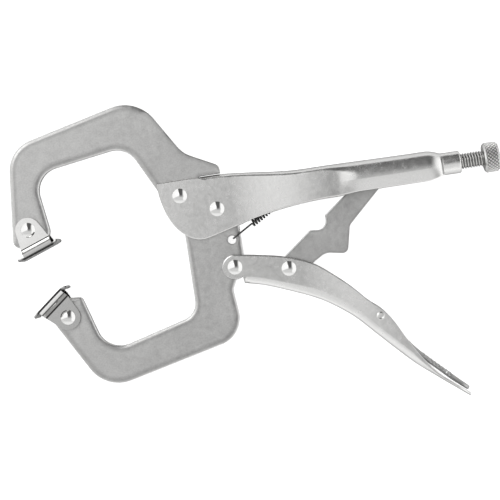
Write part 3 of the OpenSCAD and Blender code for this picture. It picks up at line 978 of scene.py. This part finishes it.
def pad_sheet(side, ear_painted_shade, rim_painted_shade):
    """One ear with its flange and rim: a strip folded along X, with shade painted dark into its
    creases and along its outer edge.
    """
    top = [EAR_R * math.cos(math.radians(a)) for a in EAR_ANGLES]
    # (y, z) down the outside and back up the inside
    outer = [(y, PAD_OUT) for y in (*top, -1.5, -3, -4.5, -6, -7.3, -8.0, -8.1)] + [
        (-8.3, PAD_OUT + 0.02), (-8.52, PAD_OUT + 0.14), (-8.7, PAD_OUT + 0.4), (-8.95, 5.9),
        (-9.1, 6.2), (-9.9, 7.75), (-10.45, 8.8), (-10.65, 9.12), (-10.95, 9.42),
        (-11.2, PAD_HALF_W), (-11.4, PAD_HALF_W), (-13.2, PAD_HALF_W), (-13.6, 9.47),
        (-13.7, 9.44), (-14.0, 9.3), (-14.2, 9.1), (-14.32, 8.8),
    ]
    inner = [(-14.32, 7.9), (-13.2, 7.9), (-11.6, 7.7), (-9.9, 5.0), (-9.3, 4.0)]
    inner += [(y, PAD_IN) for y in (-8.9, -8.0, -6, -4.5, -3, -1.5, *reversed(top))]
    section = outer + inner
    n, m = len(section), len(outer)
    verts = [(k * pad_half_length(y), y, side * z) for k in (-1, 1) for y, z in section]
    faces = band(0, n, n)
    for k in (0, n):
        lower, upper = range(k, k + m), range(k + n - 1, k + m - 1, -1)
        faces += strip(lower, upper, lambda i, j: outer[i + 1][0] >= section[n - 2 - j][0])

    # Painted shade by height: darkest in the fold and along the rim's outer edge, nearly as dark on
    # the flange's outer band, and the ear's and the rim's own levels elsewhere
    def painted_shade_by_height(y):
        if y > -8.2:
            return ear_painted_shade
        if y > -9.0 or y < -13.65:
            return 1.0
        if y < -11.3:
            return rim_painted_shade
        return 0.85 if y < -10.6 else 0.0

    return verts, faces, [painted_shade_by_height(y) for y, _ in section] * 2


def pad_base(curl):
    """The clamping plate with thick rounded ends; curl lifts the end on the -X side."""
    low = [(0, 0.0), (6, 0.0), (9.3, 0.0), (9.6, 0.0), (11.2, 0.06), (12.3, 0.28), (12.8, 0.65)]
    top = [(0, 1.45), (6, 1.45), (9.3, 1.5), (9.6, 1.55), (11.2, 2.1), (12.3, 2.25), (12.8, 1.95)]
    half = low + [(12.98, 1.2)] + top[::-1]

    def curled(x):
        return curl * max(0.0, (-x - 8.6) / 4.4) ** 1.5

    outline = [(x, PAD_FACE + y) for x, y in half]
    outline += [(-x, PAD_FACE + y + curled(-x)) for x, y in reversed(half[1:-1])]
    # Each end: quads across the plate from its middle out, and a triangle at the tip
    caps = [(k, k + 1, 13 - k, 14 - k) for k in range(6)] + [(6, 7, 8)]
    caps += [((28 - k) % 28, 27 - k, 15 + k, 14 + k) for k in range(6)] + [(22, 21, 20)]
    rings = []
    middle = PAD_FACE + 0.75
    rolled = ((PAD_HALF_W, 0.35), (PAD_HALF_W - 0.1, 0.1), (PAD_HALF_W - 0.35, 0))
    for z, inset in [(-z, inset) for z, inset in rolled] + list(reversed(rolled)):
        ring = []
        for x, y in outline:
            centre = middle + 0.35 * ramp(abs(x), 9, 12) + curled(x)
            ring.append((x * (1 - inset / 13), (y - centre) * (1 - inset / 1.4) + centre, z))
        rings.append(ring)
    verts, faces = loft(rings, caps)
    # Painted shade: the plate's two side faces darkened nearly black, a little less on its rounded
    # ends
    painted_shade = []
    for x, y, z in verts:
        end = 0.0 if abs(z) < PAD_HALF_W - 0.2 else 1.0
        painted_shade.append(end if abs(x) < 9.45 else 0.6 * end)
    return verts, faces, painted_shade


def pad(name, node, body, centre, turn, ear_painted_shade, rim_painted_shade, curl):
    """Two ears on flanges over a clamping plate, turned about the pad's rivet."""
    parts = [pad_sheet(side, ear_painted_shade, rim_painted_shade) for side in (1, -1)] + [pad_base(curl)]
    verts, faces = joined([part[:2] for part in parts])
    painted_shade = [value for part in parts for value in part[2]]
    place = Matrix.Translation((*centre, 0)) @ Matrix.Rotation(math.radians(turn), 4, "Z")
    made = piece(name, moved(verts, place), faces, body, PAD_STEEL, replaces=[node],
                 slot="pad_steel", painted_shade=painted_shade, angle=50)
    soften = made.modifiers.new("soft edges", "BEVEL")
    soften.width, soften.segments, soften.limit_method = 0.00018, 2, "ANGLE"
    soften.angle_limit = math.radians(55)


# The pads' ears and rims take different levels of painted shade, as each pad faces the light
# differently
pad("upper_pad_folded", "upper_pad", "fixed_pad", UPPER_PAD, UPPER_PAD_TURN, 0.0, 0.22, 0.0)
pad("lower_pad_folded", "lower_pad", "moving_pad", LOWER_PAD, LOWER_PAD_TURN, 0.36, 0.0, 0.9)


# ---------- return spring ----------

WIRE_R, COIL_R = 0.5, 1.9
TURNS, TURN_STEPS = 16, 16
COILS_START, COILS_LENGTH = 15.0, 29.0


def spring():
    """A hook through the jaw's hole, the coils, and a straight end to the anchor."""
    reach = (SPRING_ANCHOR[0] - SPRING_HOLE[0], SPRING_ANCHOR[1] - SPRING_HOLE[1])
    length = math.hypot(*reach)
    ux, uy = unit(reach)
    face = JAW_T / 2 + WIRE_R + 0.2
    # Each point is (along the spring, across it, z)
    route = [(1.7, 0, -JAW_T / 2 - 0.5), (1.5, 0, -1.5), (1.3, 0, 1.5), (1.5, 0, face - 0.5),
             (2.1, 0, face), (4.5, 0, face), (7.0, 0, face - 0.05), (10.0, 0, face - 0.5),
             (13.0, 0.05, 2.6)]
    count = TURNS * TURN_STEPS
    for k in range(count + 1):
        a = 2 * math.pi * k / TURN_STEPS
        s = COILS_START + COILS_LENGTH * k / count
        route.append((s, -COIL_R * math.sin(a), COIL_R * math.cos(a)))
    route += [(COILS_START + COILS_LENGTH + 1.2, 0, 2.0), (length - 1.2, 0, 1.95),
              (length - 0.3, 0, 1.6), (length, 0, 0.8), (length, 0, -1.6)]
    return tube([(SPRING_HOLE[0] + ux * s - uy * side, SPRING_HOLE[1] + uy * s + ux * side, z)
                 for s, side, z in route], WIRE_R, 10)


spring_wire = piece("return_spring_wire", *spring(), None, SPRING_STEEL, slot="spring_steel",
                    angle=180)
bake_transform(spring_wire)
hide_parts("return_spring")


# ---------- adjusting screw ----------

THREAD_R, PITCH = 4.76, 1.5875
THREAD_DEPTH = 0.62 * PITCH
LINK_GAP = 2.2
TIP_X = LINK_END[0] + LINK_TIP_R + LINK_GAP
TIP_END = TIP_X + 9
KNOB_X, KNOB_END, KNOB_R = 156.2, 164.99, 8.7
KNURLS, KNURL_PITCH, KNURL_DEPTH = 25, 2.15, 0.6


def around_screw(sections, n):
    """A closed body about the screw's axis. Each section is x and its radius at an angle."""
    angles = [2 * math.pi * k / n for k in range(n)]
    return loft([
        [(x, SCREW_Y + radius(a) * math.cos(a), radius(a) * math.sin(a)) for a in angles]
        for x, radius in sections
    ])


def thread():
    """The screw's threaded shank, with shade painted dark into the groove."""

    def radius_at(x):
        def radius(a):
            t = ((x - TIP_END) / PITCH - a / (2 * math.pi)) % 1.0
            side = abs(2 * t - 1)
            cut_in = min(1.0, max(0.0, (side - 0.10) / 0.72))
            run_in = ramp(x, TIP_END, TIP_END + 2.5) * (1 - ramp(x, KNOB_X - 1.0, KNOB_X - 0.2))
            return THREAD_R - THREAD_DEPTH * (1 - run_in * (1 - cut_in))
        return radius

    xs = steps(TIP_END + 0.01, KNOB_X + 0.3, PITCH / 10)
    verts, faces = around_screw([(x, radius_at(x)) for x in xs], 44)
    painted_shade = [0.7 * ramp(THREAD_R - math.hypot(y - SCREW_Y, z), 0.3, 0.9) for _, y, z in verts]
    return verts, faces, painted_shade


def knob():
    """Diamond-knurled knob with chamfered ends, with shade painted dark into the grooves."""

    def plain(r):
        return lambda a: r

    def knurled(s):
        def radius(a):
            u, v = a * KNURLS / (2 * math.pi), s / KNURL_PITCH
            near = min(abs((u + v + 0.5) % 1.0 - 0.5), abs((u - v + 0.5) % 1.0 - 0.5))
            return KNOB_R - KNURL_DEPTH * max(0.0, 1 - near / 0.27)
        return radius

    front = [(0, THREAD_R + 1.3), (0, KNOB_R - 1.15), (0.2, KNOB_R - 0.95), (0.85, KNOB_R - 0.35)]
    back = [(1.05, KNOB_R - 0.35), (0.35, KNOB_R - 1.0), (0, KNOB_R - 1.5), (0, 4.2), (0.45, 3.6),
            (0.45, 0.5)]
    sections = [(KNOB_X + s, plain(r)) for s, r in front]
    sections += [(KNOB_X + s, knurled(s)) for s in steps(1.0, KNOB_END - KNOB_X - 1.2, 0.125)]
    sections += [(KNOB_END - s, plain(r)) for s, r in back]
    verts, faces = around_screw(sections, KNURLS * 12)
    painted_shade = []
    for x, y, z in verts:
        deep = KNOB_R - math.hypot(y - SCREW_Y, z)
        painted_shade.append(ramp(deep, 0.2, 0.5) if KNOB_X + 0.95 < x < KNOB_END - 1.15 else 0.0)
    return verts, faces, painted_shade


thread_verts, thread_faces, thread_painted_shade = thread()
piece("adjusting_screw_thread", thread_verts, thread_faces, "screw", SCREW_STEEL,
      replaces=["adjusting_screw"], slot="screw_steel", angle=50, painted_shade=thread_painted_shade)
knob_verts, knob_faces, knob_painted_shade = knob()
piece("adjusting_screw_knob", knob_verts, knob_faces, "screw", SCREW_STEEL, slot="screw_steel",
      angle=40, painted_shade=knob_painted_shade)

TIP_R = THREAD_R - 1.3
tip_verts, tip_faces = lathe([
    (0, TIP_X), (TIP_R * 0.5, TIP_X), (TIP_R - 0.8, TIP_X + 0.03), (TIP_R - 0.35, TIP_X + 0.2),
    (TIP_R - 0.08, TIP_X + 0.5), (TIP_R, TIP_X + 0.9), (TIP_R, TIP_END - 0.3),
    (TIP_R - 0.3, TIP_END), (0, TIP_END),
], 40)
piece("screw_tip_round", [(z, SCREW_Y + y, x) for x, y, z in tip_verts], tip_faces, "screw_slider",
      SCREW_STEEL, replaces=["screw_tip"], slot="screw_steel", angle=60)


# ---------- floor, light and camera ----------

FLOOR_REACH = 3.0
FLOOR_DROP = 0.0004
FLOOR_GLOW = 0.8
# Levels of light in the painted room
NEAR_GREY, FAR_GREY, LOW_GREY = 0.71, 0.95, 0.85
LOW_RIM, WINDOW, DARK_GAP = 1.15, 1.35, 0.13
CAMERA_HEIGHT, LENS = 0.97, 121.0

floor_mesh = bpy.data.meshes.new("floor")
floor_mesh.from_pydata(
    [(x * FLOOR_REACH, y * FLOOR_REACH, 0) for x, y in ((-1, -1), (1, -1), (1, 1), (-1, 1))],
    [], [(0, 1, 2, 3)])
floor = bpy.data.objects.new("floor", floor_mesh)
scene.collection.objects.link(floor)
floor.location.z = -FLOOR_DROP
pale = bpy.data.materials.new("floor_pale")
pale.use_nodes = True
n = Nodes(pale.node_tree)
out = n.add("ShaderNodeOutputMaterial")
shader = n.add("ShaderNodeBsdfPrincipled", Roughness=0.9)
shader.inputs["Base Color"].default_value = (0.93, 0.93, 0.93, 1)
shader.inputs["Emission Color"].default_value = (1, 1, 1, 1)
seen = n.add("ShaderNodeLightPath").outputs["Is Camera Ray"]
n.link(n.math("MULTIPLY", seen, FLOOR_GLOW), shader.inputs["Emission Strength"])
n.link(shader.outputs[0], out.inputs[0])
floor_mesh.materials.append(pale)

world = bpy.data.worlds.new("studio")
scene.world = world
world.use_nodes = True
n = Nodes(world.node_tree)
out = n.add("ShaderNodeOutputWorld")
background = n.add("ShaderNodeBackground")
n.link(background.outputs[0], out.inputs[0])
direction = n.add("ShaderNodeTexCoord").outputs["Generated"]


def along(x, y, z=0.0):
    """The direction's part along a vector given in the picture's own right and up."""
    c, k = math.cos(math.radians(CAMERA_TURN)), math.sin(math.radians(CAMERA_TURN))
    dot = n.add("ShaderNodeVectorMath", operation="DOT_PRODUCT")
    n.link(direction, dot.inputs[0])
    dot.inputs[1].default_value = (x * c + y * k, -x * k + y * c, z)
    return dot.outputs["Value"]


def over(value, edge, soft):
    """0 below the edge and 1 above it, over a soft width."""
    return n.span(value, edge - soft / 2, edge + soft / 2, 0.0, 1.0, True)


def under(value, edge, soft):
    """1 below the edge and 0 above it."""
    return n.span(value, edge - soft / 2, edge + soft / 2, 1.0, 0.0, True)


def overlap(first, *others):
    """The area where every mask is 1."""
    for mask in others:
        first = n.math("MULTIPLY", first, mask)
    return first


def leaning(value, other, slope):
    """A coordinate that grows with the positive part of another, for a slanted edge."""
    return n.math("ADD", value, n.math("MULTIPLY", n.math("MAXIMUM", other, 0.0), slope))


def painted(light, mask, level):
    """The light, with a mask's area taken to a level."""
    change = n.math("SUBTRACT", level, light)
    return n.math("ADD", light, n.math("MULTIPLY", change, mask))


# The room as a domed mirror would show it: u to the right and v up, with the rim at 1
DOME_SCALE = 2 * 0.75 ** 2
half = n.math("SQRT", n.math("MULTIPLY", n.math("ADD", along(0, 0, 1), 1.0001), DOME_SCALE))
u = n.math("DIVIDE", along(1, 0), half)
v = n.math("DIVIDE", along(0, 1), half)
rim = n.math("SQRT", n.math("ADD", n.math("MULTIPLY", u, u), n.math("MULTIPLY", v, v)))

light = n.span(rim, 0.45, 0.85, NEAR_GREY, FAR_GREY, True)
light = painted(light, overlap(under(v, -0.14, 0.16), under(rim, 0.7, 0.3)), LOW_GREY)
light = painted(light, under(v, -0.60, 0.3), LOW_RIM)
# Big window on the left, with slanted right and lower sides
right_side = leaning(u, n.math("SUBTRACT", v, 0.25), 0.30)
lower_side = leaning(v, n.math("SUBTRACT", -0.2, u), 0.35)
window = overlap(under(right_side, -0.05, 0.10), over(lower_side, -0.04, 0.12))
light = painted(light, window, WINDOW)
# Dark gap of the room beyond the window
gap = overlap(over(right_side, -0.05, 0.10), under(u, 0.36, 0.14), over(v, 0.0, 0.5),
              under(rim, 1.05, 0.2))
light = painted(light, gap, DARK_GAP)
# Reflector on the right, as bright as the window
card = overlap(over(u, 0.46, 0.12), over(v, -0.55, 0.2), under(v, 0.72, 0.2), over(rim, 0.50, 0.12))
light = painted(light, card, WINDOW)
n.link(light, background.inputs["Strength"])


def softbox(name, azimuth, elevation, distance, size, power):
    """A square area light that faces the clamp, from an azimuth in the picture's own frame."""
    data = bpy.data.lights.new(name, "AREA")
    data.shape, data.size, data.energy = "SQUARE", size, power
    lamp = bpy.data.objects.new(name, data)
    scene.collection.objects.link(lamp)
    a, e = math.radians(azimuth - CAMERA_TURN), math.radians(elevation)
    back = Vector((math.cos(a) * math.cos(e), math.sin(a) * math.cos(e), math.sin(e)))
    lamp.location = back * distance
    lamp.rotation_mode = "QUATERNION"
    lamp.rotation_quaternion = (-back).to_track_quat("-Z", "Y")


softbox("key", azimuth=140, elevation=48, distance=1.6, size=0.7, power=3.4)

camera_data = bpy.data.cameras.new("camera")
camera = bpy.data.objects.new("camera", camera_data)
scene.collection.objects.link(camera)
camera_data.lens, camera_data.sensor_width = LENS, 36.0
centre = at(15.2, -26.2)
camera.location = (centre.x, centre.y, centre.z + CAMERA_HEIGHT)
camera.rotation_euler = (0, 0, math.radians(-CAMERA_TURN))
camera_data.clip_start, camera_data.clip_end = 0.01, 20.0
scene.camera = camera

scene.view_settings.view_transform = "Standard"
scene.view_settings.look = "None"

bpy.context.view_layer.update()
